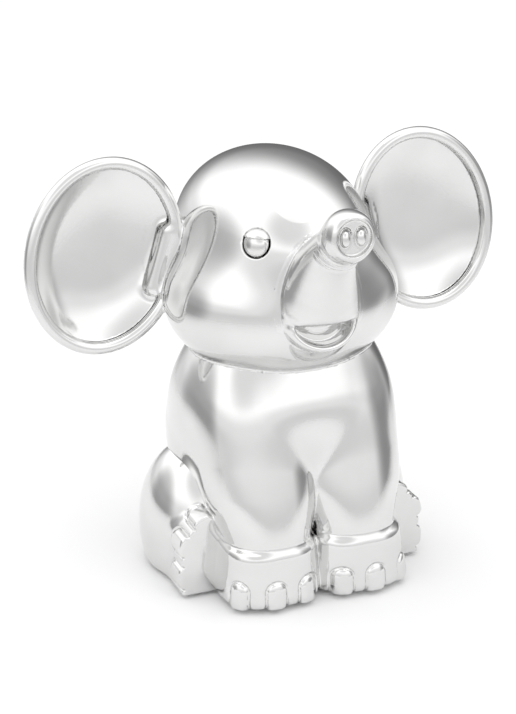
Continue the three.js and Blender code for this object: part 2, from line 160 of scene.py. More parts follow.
# The camera sees an even white behind the bank; the silver reflects walls and cards.
BACKDROP = 1.05
seen = tent.node("ShaderNodeLightPath")
shown = tone * (1 - seen) + seen * BACKDROP
sky = tent.node("ShaderNodeBackground", None, Strength=shown)
tent.last.inputs["Color"].default_value = (1.0, 1.0, 1.0, 1.0)
tent.node("ShaderNodeOutputWorld", None, sky)

# One round soft box hangs over the tent's front.
BOX_AT = (0.1, -0.3, 1.6)
BOX_AIM = (0, 0, 0.07)
box_light = bpy.data.lights.new("top_box", "AREA")
box_light.shape = "DISK"
box_light.size = 1.2
box_light.energy = 1.2
box_lamp = bpy.data.objects.new("top_box", box_light)
box_lamp.location = BOX_AT
box_lamp.rotation_euler = (Vector(BOX_AIM) - Vector(BOX_AT)).to_track_quat("-Z", "Y").to_euler()
scene.collection.objects.link(box_lamp)

# The floor is a round of white paper that fades into the tent's own white.
FLOOR_R = 0.6
FLOOR_FADE = (0.09, 0.5)
FLOOR_SIDES = 96
PAPER = (0.9, 0.9, 0.9, 1.0)
floor_mesh = bpy.data.meshes.new("tent_floor")
floor_edge = bmesh.new()
bmesh.ops.create_circle(floor_edge, cap_ends=True, segments=FLOOR_SIDES, radius=FLOOR_R)
floor_edge.to_mesh(floor_mesh)
floor_edge.free()
floor = bpy.data.objects.new("tent_floor", floor_mesh)
floor.location = (0, 0, -0.0001)
scene.collection.objects.link(floor)
floor_paint = bpy.data.materials.new("tent_floor")
floor_paint.use_nodes = True
floor_paint.node_tree.nodes.clear()
paper = Tree(floor_paint.node_tree)
spot = paper.node("ShaderNodeTexCoord", None, out=3)
radius = paper.node("ShaderNodeVectorMath", {"operation": "LENGTH"}, spot, out=1)
fade = paper.node("ShaderNodeMapRange", SMOOTH, radius, *FLOOR_FADE, 0.0, 1.0)
white = paper.node("ShaderNodeBsdfDiffuse", None, PAPER)
clear = paper.node("ShaderNodeBsdfTransparent", None)
both = paper.node("ShaderNodeMixShader", None, fade, white, clear)
paper.node("ShaderNodeOutputMaterial", None, both)
floor_mesh.materials.append(floor_paint)

# ---- Body castings ----
# Two hollow zinc castings, soldered along an upright seam that is then polished away. Chest, back
# and forelegs swell into each other. The coin slot is sawn through the back, and the flat seat takes
# the base plate.
STEP = 0.95
WALL = 2.2
SEAT_Z = 1.0
NECK_Z = 80.0
SEAM_Y = 10.0
TORSO = ((0, 5, 46), (36, 31, 44))
RUMP = ((0, 8, 18), (33.9, 30.9, 20), 5.0)
BELLY_SOFT = 5.0
LEG_AT = (14.5, -11.7, 46)
LEG_R = 19.3
LEG_BEND = 10.0
LEG_UP, LEG_DOWN = 34.0, 45.5
LEG_SLANT = 0.42
LEG_SQUARE = 2.35
LEGS_PART_Z = (34, 66)
ANKLE_PINCH = 0.13
ANKLE_H = 16
ANKLE_CREASE = 0.9
FOOT_AT = (14.9, -25.4)
FOOT_R = (15.9, 15.0)
FOOT_TOP_Z = 20.3
FOOT_TOP_ROUND = 3.0
FOOT_SOLE_ROUND = 4.5
FOOT_TAPER = 0.006
FOOT_SQUARE = 2.7
SEAT_EDGE = 1.2
SLOT = (32.0, 5.0)
SLOT_AT = (0, 38, 61.0)
SLOT_THROUGH = 20
SLOT_EDGE = 1.1
PLATE_R = (22.6, 20.4)
PLATE_TOP = 4.3
WELL_R = 16.8
CHAMBER_Z = 6.7


def length(v):
    """Length of each row."""
    return np.sqrt((v * v).sum(-1))


def egg(p, at, r, square=2.0):
    """Distance to an ellipsoid; `square` over 2 gives it upright flanks."""
    q = (p - np.array(at)) / np.array(r)
    if square == 2.0:
        near = length(q)
        return near * (near - 1) / np.maximum(length(q / np.array(r)), 1e-6)
    tall = np.abs(q[:, 2])
    level = q[:, 0] ** 2 + q[:, 1] ** 2 + tall**square
    rise = np.stack(
        [2 * q[:, 0] / r[0], 2 * q[:, 1] / r[1], square * tall ** (square - 1) / r[2]], -1
    )
    return (level - 1) / np.maximum(length(rise), 0.02)


def ball_limb(p, a, ra, b, rb):
    """Distance to a round-ended limb that tapers from ball a to ball b."""
    a, b = np.array(a, float), np.array(b, float)
    along = np.clip(((p - a) @ (b - a)) / ((b - a) @ (b - a)), 0, 1)
    return length(p - a - along[:, None] * (b - a)) - ra - (rb - ra) * along


def slab(p, half, at=(0, 0, 0), soft=0.5):
    """Distance to a box with edges rounded by `soft`."""
    q = np.abs(p - np.array(at)) - np.array(half) + soft
    return length(np.maximum(q, 0)) + np.minimum(q.max(-1), 0) - soft


def join(a, b, soft):
    """Union of two shapes with a fillet of about `soft`."""
    h = np.maximum(soft - np.abs(a - b), 0) / soft
    return np.minimum(a, b) - h * h * soft / 4


def carve(a, b, soft=0.5):
    """Shape a without shape b, with the new edge rounded."""
    return -join(-a, b, soft)


def grown_on(own, parent, fillet, sink=0.9):
    """A piece whose foot spreads onto its parent in a fillet, and sinks a little into it."""
    both = np.maximum(join(own, parent, fillet), own - 0.9 * fillet)
    return np.maximum(both, -(parent + sink))


def ease(t, low, high):
    """0 below `low`, 1 above `high`, and smooth between them."""
    t = np.clip((t - low) / (high - low), 0, 1)
    return t * t * (3 - 2 * t)


def bell(t, width):
    """1 at zero, fading to nothing over about twice `width`."""
    return np.exp(-((t / width) ** 2))


def folded(p):
    """The same points with both sides of the figure folded onto +X."""
    return np.stack([np.abs(p[:, 0]), p[:, 1], p[:, 2]], -1)


def slope(shape, p, h=0.02):
    """Which way a field rises at each point, and how steeply."""
    return np.stack([(shape(p + d) - shape(p - d)) / (2 * h) for d in np.eye(3) * h], -1)


def onto(shape, p, reach, rounds=3):
    """Moves points along the slope of a field until they lie on its surface."""
    for _ in range(rounds):
        g = slope(shape, p)
        p = p - np.clip(shape(p) / np.maximum((g * g).sum(1), 0.05), -reach, reach)[:, None] * g
    return p


def polygons(shape, low, high, step):
    """A quad mesh of the surface of a distance field."""
    low, high = np.array(low, float), np.array(high, float)
    count = np.ceil((high - low) / step).astype(int) + 1
    axes = [low[i] + step * np.arange(count[i]) for i in range(3)]
    values = np.empty(count, np.float32)
    for i, x in enumerate(axes[0]):
        sheet = np.stack(np.meshgrid([x], axes[1], axes[2], indexing="ij"), -1)
        values[i] = shape(sheet.reshape(-1, 3)).reshape(count[1:])
    volume = openvdb.FloatGrid(background=3 * step)
    volume.copyFromArray(values)
    points, _, quads = volume.convertToPolygons(isovalue=0.0, adaptivity=0.0)
    points = onto(shape, low + points.astype(float) * step, step)
    a, b, c = points[quads[:, 0]], points[quads[:, 1]], points[quads[:, 2]]
    if (np.cross(b - a, c - a) * a).sum() < 0:
        quads = quads[:, ::-1]
    return points, quads


def skin(name, shape, low, high, step, fine=(), keep=None, seam_y=None):
    """A closed mesh of a field. `fine` lists boxes that are split finer; `keep` cuts it at the seam."""
    points, quads = polygons(shape, low, high, step)
    bm = bmesh.new()
    corners = [bm.verts.new(p) for p in points]
    for quad in quads.tolist():
        bm.faces.new([corners[i] for i in quad])
    for box_low, box_high, cuts in fine:
        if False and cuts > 1:
            cuts = 1
        box_low, box_high = Vector(box_low), Vector(box_high)
        edges = {
            e
            for v in bm.verts
            if all(box_low[i] < v.co[i] < box_high[i] for i in range(3))
            for e in v.link_edges
        }
        bmesh.ops.subdivide_edges(bm, edges=list(edges), cuts=cuts, use_grid_fill=True)
    if keep:
        cut = bmesh.ops.bisect_plane(
            bm,
            geom=bm.verts[:] + bm.edges[:] + bm.faces[:],
            plane_co=(0, seam_y, 0),
            plane_no=(0, keep, 0),
            clear_inner=True,
            dist=1e-5,
        )
        rim = [e for e in cut["geom_cut"] if isinstance(e, bmesh.types.BMEdge)]
        bmesh.ops.triangle_fill(bm, edges=rim, use_beauty=True)
    mesh = bpy.data.meshes.new(name)
    bm.to_mesh(mesh)
    bm.free()
    at = np.empty(len(mesh.vertices) * 3)
    mesh.vertices.foreach_get("co", at)
    p = at.reshape(-1, 3)
    on_seam = np.abs(p[:, 1] - seam_y) < 1e-4 if keep else np.zeros(len(p), bool)
    moved = onto(shape, p, 0.3, 2)
    p = np.where(on_seam[:, None], p, moved)
    g = slope(shape, p)
    normal = g / np.maximum(length(g), 1e-9)[:, None]
    mesh.vertices.foreach_set("co", p.ravel())
    mesh.update()
    mesh.polygons.foreach_set("use_smooth", np.ones(len(mesh.polygons), bool))
    vertex_of = np.empty(len(mesh.loops), np.int32)
    mesh.loops.foreach_get("vertex_index", vertex_of)
    loops = normal[vertex_of]
    if keep:
        total = np.empty(len(mesh.polygons), np.int32)
        mesh.polygons.foreach_get("loop_total", total)
        start = np.concatenate([[0], np.cumsum(total)[:-1]])
        flat = np.repeat(np.minimum.reduceat(on_seam[vertex_of].astype(int), start) == 1, total)
        loops[flat] = (0, -keep, 0)
    mesh.vertices.foreach_set("co", metres(p).ravel())
    mesh.update()
    mesh.normals_split_custom_set(loops)
    return mesh


def piece(name, mesh, material, body="bank"):
    thing = bpy.data.objects.new(name + "_piece", mesh)
    scene.collection.objects.link(thing)
    mesh.materials.append(material)
    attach(thing, body)
    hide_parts(name)


BRIGHT_SILVER = (0.76, 0.76, 0.757, 1)
RUBBED_SILVER = (0.72, 0.72, 0.716, 1)
silver = bpy.data.materials.new("polished_silver_plate")
silver.use_nodes = True
polish = Tree(silver.node_tree)
place = polish.node("ShaderNodeTexCoord", None, out=3)
clouds = polish.node("ShaderNodeTexNoise", None, Vector=place, Scale=45.0, Detail=3.0)
smears = polish.node("ShaderNodeTexNoise", None, Vector=place, Scale=400.0, Detail=2.0)
rub = polish.ramp(clouds, (0.35, 0.0), (0.7, 1.0))
shade = polish.node("ShaderNodeMix", {"data_type": "RGBA"}, out=2)
tint = polish.last
silver.node_tree.links.new(rub.out, tint.inputs["Factor"])
tint.inputs[6].default_value = BRIGHT_SILVER
tint.inputs[7].default_value = RUBBED_SILVER
surface = silver.node_tree.nodes["Principled BSDF"]
surface.inputs["Metallic"].default_value = 1.0
silver.node_tree.links.new(shade.out, surface.inputs["Base Color"])
gloss = 0.06 + rub * 0.03 + smears * 0.02
silver.node_tree.links.new(gloss.out, surface.inputs["Roughness"])
ripple = polish.node("ShaderNodeTexNoise", None, Vector=place, Scale=28.0, Detail=1.0)
wave = polish.node("ShaderNodeBump", None, Strength=1.0, Distance=0.00004, Height=ripple)
silver.node_tree.links.new(wave.out, surface.inputs["Normal"])

# The toenails of a forefoot: where each one's middle is, and which way it faces, seen from above.
FORE_NAILS = (
    ((6.0, -40.8), (0.0, -1.0)),
    ((17.2, -41.0), (0.1, -1.0)),
    ((26.6, -34.5), (0.78, -0.62)),
)
NAIL_HALF_W = 3.1
NAIL_TOP = 9.2
NAIL_DEPTH = (-6, -3.5)
NAIL_RELIEF = 0.75
NAIL_ROUND = 1.6
GROOVE_DEPTH, GROOVE_W = 0.4, 0.42


def arch(u, v, half_w, top):
    """Distance outside an arch that stands on v = 0."""
    over = v - (top - half_w)
    return np.where(over > 0, np.sqrt(u * u + over * over), np.abs(u)) - half_w


def raised(d):
    """Relief of a raised nail with a groove round it, from the distance outside its outline."""
    dome = NAIL_RELIEF * np.sqrt(np.clip(-d / NAIL_ROUND, 0, 1))
    return dome - GROOVE_DEPTH * bell(d - 0.45, GROOVE_W)


def corner(a, b, square):
    """Radius in a plane where circles are squared off."""
    return (np.abs(a) ** square + np.abs(b) ** square) ** (1 / square)


def foreleg(m):
    up = m[:, 2] - LEG_AT[2]
    tall = np.where(up > 0, up / LEG_UP, up / LEG_DOWN)
    # The leg leans forward on its way down, and stands upright at the top.
    lean_y = LEG_SLANT * (LEG_BEND - LEG_BEND * np.logaddexp(0, (LEG_BEND - up) / LEG_BEND))
    ankle = 1 + ANKLE_PINCH * (1 - ease(m[:, 2], FOOT_TOP_Z, FOOT_TOP_Z + ANKLE_H))
    level = corner((m[:, 0] - LEG_AT[0]) * ankle, m[:, 1] - LEG_AT[1] - lean_y, LEG_SQUARE)
    leg = np.hypot(level, tall * LEG_R) - LEG_R
    on_foot = (m[:, :2] - FOOT_AT) / FOOT_R
    level = corner(on_foot[:, 0], on_foot[:, 1], FOOT_SQUARE)
    side = (level * (1 + FOOT_TAPER * (m[:, 2] - FOOT_TOP_Z / 2)) - 1) * FOOT_R[1]
    foot = -join(-side, FOOT_TOP_Z - m[:, 2], FOOT_TOP_ROUND)
    foot = -join(-foot, m[:, 2] - SEAT_Z + 0.6, FOOT_SOLE_ROUND)
    for (x, y), (nx, ny) in FORE_NAILS:
        size = math.hypot(nx, ny)
        nx, ny = nx / size, ny / size
        u = (m[:, 0] - x) * -ny + (m[:, 1] - y) * nx
        depth = (m[:, 0] - x) * nx + (m[:, 1] - y) * ny
        near = ease(depth, *NAIL_DEPTH)
        foot = foot - near * raised(arch(u, m[:, 2] - SEAT_Z, NAIL_HALF_W, NAIL_TOP))
    return join(leg, foot, ANKLE_CREASE)


def body_outside(p):
    m = folded(p)
    across = m * (-1, 1, 1)
    # Low down the legs part in a crease; higher up they melt into each other and the chest.
    high = ease(p[:, 2], *LEGS_PART_Z)
    legs = join(foreleg(m), foreleg(across), 0.8 + 16 * high)
    barrel = join(egg(p, *TORSO), egg(p, *RUMP), BELLY_SOFT)
    whole = join(barrel, legs, 3.0 + 12 * high)
    return carve(whole, p[:, 2] - SEAT_Z, SEAT_EDGE)


def disc(p, at, rx, ry):
    """Distance to an upright elliptic column."""
    q = (p[:, :2] - np.array(at[:2])) / (rx, ry)
    near = length(q)
    return near * (near - 1) / np.maximum(length(q / (rx, ry)), 1e-6)


def body_shape(p):
    outside = np.maximum(body_outside(p), p[:, 2] - NECK_Z)
    chamber = np.maximum(outside + WALL, CHAMBER_Z - p[:, 2])
    shell = carve(outside, chamber, 0.5)
    well = np.maximum(disc(p, (0, PLUG_Y), WELL_R, WELL_R), p[:, 2] - CHAMBER_Z - 1)
    recess = np.maximum(disc(p, (0, PLUG_Y), *PLATE_R), p[:, 2] - PLATE_TOP)
    slot_cut = slab(p, (SLOT[0] / 2, SLOT_THROUGH, SLOT[1] / 2), SLOT_AT, 0.6)
    return carve(carve(carve(shell, well, 0.3), recess, 0.3), slot_cut, SLOT_EDGE)


BODY_BOX = ((-41, -44.5, 0), (41, 41.5, 81.5))
FINE_TOES = ((-33, -46, 0), (33, -24, 13), 2)
FINE_SLOT = ((-18, 25, 56), (18, 42, 66), 1)
for name, keep, fine in (("body_front", -1, [FINE_TOES]), ("body_rear", 1, [FINE_SLOT])):
    piece(name, skin(name, body_shape, *BODY_BOX, STEP, fine, keep, SEAM_Y), silver)

# ---- Hind legs ----
# Each hind leg is a hollow casting of the haunch with the foot stretched forward. The sole is turned
# to the front and ground flat; four nails lie round its edge. It is screwed on from inside.
HAUNCH = ((28.3, 4.6, 14.2), (17.8, 21.2, 28.2))
SOLE_Y = -21.5
HIND_X = 29.3
HIND_HALF_W = 12.5
HIND_STRAIGHT = 15.0
HIND_TOP = 27.5
HIND_BACK = 4.0
HIND_NAILS = (-32, 16, 66, 98)
HIND_NAIL_HALF_W = 3.5
HIND_NAIL_LENGTH = 9.2
HIND_NAIL_RELIEF = 1.5
SOLE_EDGE = 1.1
THIGH_CREASE = 1.6
THIGH_GAP = 1.2
THIGH_FLOOR = 3.4
FAR = 1e3


def hind_foot(m):
    x = m[:, 0] - HIND_X
    z = m[:, 2] - HIND_STRAIGHT
    up = np.maximum(z, 0) * (HIND_HALF_W / (HIND_TOP - HIND_STRAIGHT))
    column = np.sqrt(x * x + up * up) - HIND_HALF_W
    turn = np.degrees(np.arctan2(up + np.minimum(z, 0), x))
    for at in HIND_NAILS:
        if at < 0:
            # This nail lies on the upright flank below the round of the foot.
            u = np.where(z < 0, z - HIND_HALF_W * math.tan(math.radians(at)), FAR)
        else:
            u = np.radians(turn - at) * HIND_HALF_W
        relief = raised(arch(u, m[:, 1] - SOLE_Y - 0.6, HIND_NAIL_HALF_W, HIND_NAIL_LENGTH))
        column = column - HIND_NAIL_RELIEF * relief * ease(column, -3.0, -1.0)
    ends = np.maximum(SOLE_Y - m[:, 1], m[:, 1] - HIND_BACK)
    return -join(-column, -ends, SOLE_EDGE)


def hind_outside(p):
    m = folded(p)
    return join(egg(m, *HAUNCH), hind_foot(m), THIGH_CREASE)


def hind_shape(p):
    outside = carve(hind_outside(p), p[:, 2] - SEAT_Z, 1.0)
    outside = np.maximum(outside, -body_outside(p) - THIGH_GAP)
    hollow = np.maximum(egg(folded(p), *HAUNCH) + WALL, THIGH_FLOOR - p[:, 2])
    return carve(outside, np.maximum(hollow, 0.6 - body_outside(p)), 0.4)


for name, side in (("hind_leg_right", -1), ("hind_leg_left", 1)):
    x_range = sorted((side * 8, side * 48))
    box_low, box_high = (x_range[0], -24, 0), (x_range[1], 28, 44)
    fine = [(box_low, (x_range[1], -9, 30), 1)]
    one_side = lambda p, side=side: np.maximum(hind_shape(p), -side * p[:, 0])
    piece(name, skin(name, one_side, box_low, box_high, STEP * 0.9, fine), silver)

# ---- Head castings ----
# Two hollow castings like the body's. Skull and cheeks are two rounds blended together. The mouth is
# a shallow recess in the ball of the jaw, under the trunk's root, with a rolled lip round its edge.
SKULL = ((0, 6.6, 109.2), (29.9, 39.66, 27.7))
CHEEKS = ((0, -2, 92), (38.1, 32.1, 25.6))
HEAD_SEAM_Y = 20.0
JAW = ((0, -25.2, 91.2), (13.7, 13.2, 13.4))
LIP_AT = (0, -25.0, 88.4)
UPPER_LIP_TILT = math.radians(12)
UPPER_LIP_UP = 2.0
MOUTH_TOP_Z = 93.6
MOUTH_HALF_W = 9.9
MOUTH_DROP = 7.6
MOUTH_DEPTH = 4.2
LIP_OUT = 1.3
LIP_THICK = 1.5
MOUTH_BACK_Y = -22
MOUTH_SOFT = 2.4
MOUTH_SOLID = ((0, -24, 89), (14, 15, 11))
JAW_CREASE = 0.45
CHEEK_SOFT = 7.0
CHIN_FILLET = 1.1
EYE_R = 4.1
EYE_NEAR = (17.9, -24.0, 116.7)
SOCKET_GAP = 0.35
SOCKET_DEPTH = 2.0


def face(p):
    return join(egg(p, *SKULL), egg(p, *CHEEKS), CHEEK_SOFT)


EYE = onto(face, np.array([EYE_NEAR]), 2.0, 8)[0]
EYE_DIR = slope(face, EYE[None])[0]
EYE_DIR = EYE_DIR / np.linalg.norm(EYE_DIR)


def tilted(p, at, angle):
    """Distance across, forward and up in a frame at `at` whose front dips by `angle`."""
    q = p - np.array(at)
    forward = -q[:, 1] * math.cos(angle) - q[:, 2] * math.sin(angle)
    up = -q[:, 1] * math.sin(angle) + q[:, 2] * math.cos(angle)
    return q[:, 0], forward, up


def head_outside(p):
    skull, jaw = face(p), egg(p, *JAW)
    muzzle = join(skull, jaw, 1.4) + JAW_CREASE * bell(skull - jaw, 0.8)
    # Seen from the front the mouth's edge is a U, with a rolled lip all along it.
    drop = np.minimum(p[:, 2] - MOUTH_TOP_Z, 0) * (MOUTH_HALF_W / MOUTH_DROP)
    edge = np.hypot(p[:, 0], drop) - MOUTH_HALF_W
    open_mouth = -join(-edge, muzzle + MOUTH_DEPTH, MOUTH_SOFT)
    behind = np.maximum(p[:, 1] - MOUTH_BACK_Y, p[:, 2] - MOUTH_TOP_Z - 2.5)
    open_mouth = np.maximum(open_mouth, behind)
    roll = LIP_THICK - (LIP_THICK + 1) * ease(p[:, 2], MOUTH_TOP_Z + 1, MOUTH_TOP_Z + 8)
    lip = np.hypot(edge - LIP_OUT, muzzle) - roll
    lip = np.maximum(lip, p[:, 1] - MOUTH_BACK_Y)
    mouth = join(carve(muzzle, open_mouth, 0.8), lip, 0.6)
    q = folded(p) - np.array(EYE)
    off = q @ EYE_DIR
    wide = length(q - off[:, None] * EYE_DIR)
    socket = np.maximum(wide - EYE_R - SOCKET_GAP, np.abs(off) - SOCKET_DEPTH)
    return carve(mouth, socket, 0.6)


def head_shape(p):
    outside = head_outside(p)
    neck = np.maximum(body_outside(p), p[:, 2] - NECK_Z - 0.2)
    inside = np.maximum(face(p) + WALL, WALL - neck)
    inside = np.maximum(inside, 1.8 - egg(p, *MOUTH_SOLID))
    return carve(grown_on(outside, neck, CHIN_FILLET, 0.8), inside, 0.4)


HEAD_BOX = ((-41, -43, 64), (41, 48, 138.6))
FINE_FACE = (
    ((-16, -43, 76), (16, -20, 100), 2),
    ((-27, -38, 110), (-7, -20, 124), 2),
    ((10, -36, 110), (23, -20, 124), 2),
)
for name, keep, fine in (("head_front", -1, FINE_FACE), ("head_rear", 1, ())):
    mesh = skin(name, head_shape, *HEAD_BOX, STEP, fine, keep, HEAD_SEAM_Y)
    piece(name, mesh, silver)

# ---- Trunk ----
# One casting that sweeps up in a single bend and ends in a ball. The ball is cut off flat in front
# and sunk to a dish with two domed nostrils; three folds are chased across the underside below it.
BEND_AT = (-78.6, 78.7)
BEND_R = 53.3
ROOT, TIP = math.radians(10.0), math.radians(58.0)
ROOT_SOFT = 7.0
TRUNK_FILLET = 2.4
BALL = (0, -51.4, 124.9)
BALL_R = 7.8
DISC_AT = (0, -56.2, 125.3)
DISC_TILT = math.radians(-5)
TRUNK_R = (
    (6, 12.8), (14, 13.1), (21, 13.1), (26, 12.4), (31, 11.2), (36, 9.9),
    (41, 8.7), (46, 7.7), (51, 7.1), (56, 6.9), (62, 6.9),
)
DISH_R = 5.5
DISH_DEPTH = 0.9
DISH_ROUND = 0.7
NOSTRIL = (2.45, 1.6, 2.5)
NOSTRIL_DEPTH = 1.7
FOLDS = (54.0, 51.2, 48.4)
FOLD_IN, FOLD_OUT = 0.45, 0.25


def smooth_table(t, table):
    """A smooth curve through (place, value) pairs."""
    places, values = np.array(table, float).T
    slopes = np.gradient(values, places)
    t = np.clip(t, places[0], places[-1])
    i = np.clip(np.searchsorted(places, t) - 1, 0, len(places) - 2)
    span = places[i + 1] - places[i]
    s = (t - places[i]) / span
    return (
        (1 + 2 * s) * (1 - s) ** 2 * values[i]
        + s * (1 - s) ** 2 * span * slopes[i]
        + s * s * (3 - 2 * s) * values[i + 1]
        + s * s * (s - 1) * span * slopes[i + 1]
    )


def trunk_outside(p):
    y, z = p[:, 1] - BEND_AT[0], p[:, 2] - BEND_AT[1]
    turn = np.arctan2(z, y)
    out = np.hypot(y, z) - BEND_R
    degrees = np.degrees(turn)
    around = np.hypot(out, p[:, 0])
    tube = around - smooth_table(degrees, TRUNK_R)
    under = ease(-out / np.maximum(around, 1e-3), -0.1, 0.5)
    for at in FOLDS:
        d = np.radians(degrees - at) * (BEND_R - 6)
        tube = tube + under * (FOLD_IN * bell(d, 0.55) - FOLD_OUT * bell(d - 1.2, 0.6))
    beyond = (turn - TIP) * BEND_R
    before = (ROOT - turn) * BEND_R
    tube = -join(-tube, -beyond, 2.2)
    tube = join(tube, length(p - np.array(BALL)) - BALL_R, 2.6)
    _, ahead, aloft = tilted(p, DISC_AT, DISC_TILT)
    tube = -join(-tube, -ahead, 1.8)
    tube = -join(-tube, -before, ROOT_SOFT)
    _, _, over = tilted(p, LIP_AT, -UPPER_LIP_TILT)
    tube = -join(-tube, over - UPPER_LIP_UP, 2.2)
    rim = np.hypot(aloft, p[:, 0])
    sunk = np.maximum(-ahead - DISH_DEPTH + 0.12 * aloft, 0)
    dish = np.hypot(np.maximum(rim - DISH_R + DISH_ROUND, 0), sunk) - DISH_ROUND
    tube = carve(tube, dish, 0.6)
    for side in (-1, 1):
        e = np.hypot((p[:, 0] - side * NOSTRIL[0]) / NOSTRIL[1], (aloft + 0.2) / NOSTRIL[2])
        groove = np.hypot((e - 1.15) * NOSTRIL[1], ahead + 1.5) - 0.45
        dome = np.sqrt(e * e + ((ahead + NOSTRIL_DEPTH) / 1.5) ** 2) - 1
        tube = join(carve(tube, groove, 0.25), dome * 0.9, 0.2)
    return tube


def trunk_shape(p):
    own = trunk_outside(p)
    parent = head_outside(p)
    return grown_on(own, parent, TRUNK_FILLET) + JAW_CREASE * bell(own - parent, 0.8)


FINE_TIP = ((-9, -61, 112), (9, -42, 135), 1)
mesh = skin("trunk", trunk_shape, (-19, -61, 80), (19, -18, 135), STEP * 0.75, [FINE_TIP])
piece("trunk", mesh, silver)

# ---- Ears ----
# Each ear is a thin pressed dish with a rolled edge. It leans with its top towards the head, and is
# screwed on through a root behind the dish and a long boss at its inner edge.
EAR_AT = (54.75, 8.5, 107.3)
EAR_HALF = (25.6, 31.2)
EAR_LEAN = math.radians(14)
EAR_PITCH = math.radians(5)
RIM_R = 2.0
EAR_DISH = 6.0
EAR_SWELL = 3.2
EAR_T = 2.2
EAR_ROOT = ((32.5, 14.5, 103.5), (8, 5.5, 14))
EAR_FILLET = 0.8
BOSS_ENDS = ((38.6, 10.7, 94.8), (33.4, 10.7, 112.3))
BOSS_R = 2.5
BOSS_SOFT = 3.2
lean_across, lean_up = math.cos(EAR_LEAN), math.sin(EAR_LEAN)
tip_along, tip_up = math.cos(EAR_PITCH), math.sin(EAR_PITCH)
lean = np.array([[lean_across, 0, -lean_up], [0, 1, 0], [lean_up, 0, lean_across]])
pitch = np.array([[1, 0, 0], [0, tip_along, tip_up], [0, -tip_up, tip_along]])
EAR_TURN = pitch @ lean


def ear_outside(p):
    q = (folded(p) - np.array(EAR_AT)) @ EAR_TURN
    half = np.array(EAR_HALF) - RIM_R
    flat = q[:, [0, 2]] / half
    share = length(flat)
    edge = share * (share - 1) / np.maximum(length(flat / half), 1e-6)
    back = q[:, 1]
    roll = np.hypot(edge, back) - RIM_R
    share = np.clip(share, 0, 1.1)
    depth = EAR_DISH * (1 - share**EAR_SWELL) + 0.6
    fall = EAR_DISH * EAR_SWELL * share ** (EAR_SWELL - 1) / 26
    dish = (np.abs(back - depth - EAR_T / 2) - EAR_T / 2) / np.sqrt(1 + fall**2)
    dish = np.maximum(dish, edge)
    return join(dish, roll, 0.9)


def ear_shape(p):
    m = folded(p)
    q = (m - np.array(EAR_AT)) @ EAR_TURN
    root = np.maximum(egg(m, *EAR_ROOT), EAR_DISH * 0.95 - q[:, 1])
    boss = ball_limb(m, BOSS_ENDS[0], BOSS_R, BOSS_ENDS[1], BOSS_R)
    own = join(join(ear_outside(p), root, 1.2), boss, BOSS_SOFT)
    return grown_on(own, face(p), EAR_FILLET)


for name, side in (("ear_right", -1), ("ear_left", 1)):
    x_range = sorted((side * 22, side * 82))
    mesh = skin(name, ear_shape, (x_range[0], -4, 72), (x_range[1], 26, 142), STEP * 0.75)
    piece(name, mesh, silver)

# ---- Eyes ----
# A turned and polished dome on a pin, pressed into a shallow socket. A thin lid is raised over the
# upper third of the dome.
EYE_DOME_H = 2.9
EYE_SINK = 0.9
LID_T = 0.45
LID_Z = 1.3
PIN_R = 1.6

def eye_shape(p):
    q = folded(p) - np.array(EYE)
    off = q @ EYE_DIR
    side_on = q - off[:, None] * EYE_DIR
    wide = length(side_on)
    tall = side_on[:, 2] / math.sqrt(1 - EYE_DIR[2] ** 2)
    dome = egg(np.stack([wide, 0 * wide, off], -1), (0, 0, -EYE_SINK), (EYE_R, EYE_R, EYE_DOME_H))
    lid = np.maximum(dome - LID_T, LID_Z - tall + 0.04 * side_on[:, 0] ** 2)
    dome = join(dome, lid, 0.25)
    pin = np.maximum(wide - PIN_R, np.abs(off + 2.0) - 2.2)
    return join(np.maximum(dome, -off - 1.0), pin, 0.2)


for name, side in (("eye_right", -1), ("eye_left", 1)):
    x_range = sorted((side * 11, side * 22))
    one_side = lambda p, side=side: np.maximum(eye_shape(p), -side * p[:, 0])
    mesh = skin(name, one_side, (x_range[0], -33, 110), (x_range[1], -21, 123), 0.35)
    piece(name, mesh, silver)

# ---- Tail ----
# A short solid taper that hangs against the rump, with a few hairs chased into its end. It is cast
# on its own and screwed on from inside the body.
TAIL_ROOT = (0, 38.2, 30)
TAIL_END = (0, 41.2, 13)
TAIL_R = (4.2, 2.1)
HAIRS = 9
HAIR_H = 0.18


def tail_shape(p):
    hair = ball_limb(p, TAIL_ROOT, TAIL_R[0], TAIL_END, TAIL_R[1])
    drop = (TAIL_ROOT[2] - p[:, 2]) / (TAIL_ROOT[2] - TAIL_END[2])
    turn = np.arctan2(p[:, 0], p[:, 1] - 40)
    hair = hair + HAIR_H * ease(drop, 0.55, 0.8) * np.cos(HAIRS * turn)
    return np.maximum(hair, -(body_outside(p) + 1.0))


mesh = skin("tail", tail_shape, (-6, 30, 8), (6, 48, 36), STEP * 0.7)
piece("tail", mesh, silver)

# ---- Base plate ----
# A stamped oval plate that closes the seat of the body. Its middle is a stepped hole for the plug,
# and four stepped holes round it take the screws.
PLATE_Z = (1.8, 4.0)
PLUG_R = 14.27
PLUG_FLANGE_R = 15.17
HOLE_GAP = 0.3
RIM_GAP = 0.6
RIM_STEP_Z = 2.6
SCREW_AT_R = (18.72, 17.62)
SCREW_TURNS = (45, 135, 225, 315)
SCREW_HOLE_R = 1.8
SCREW_SINK = (3.0, 3.0)


def flat_ring(p, z0, z1):
    """Distance to the slice of space between two heights."""
    return np.maximum(z0 - p[:, 2], p[:, 2] - z1)


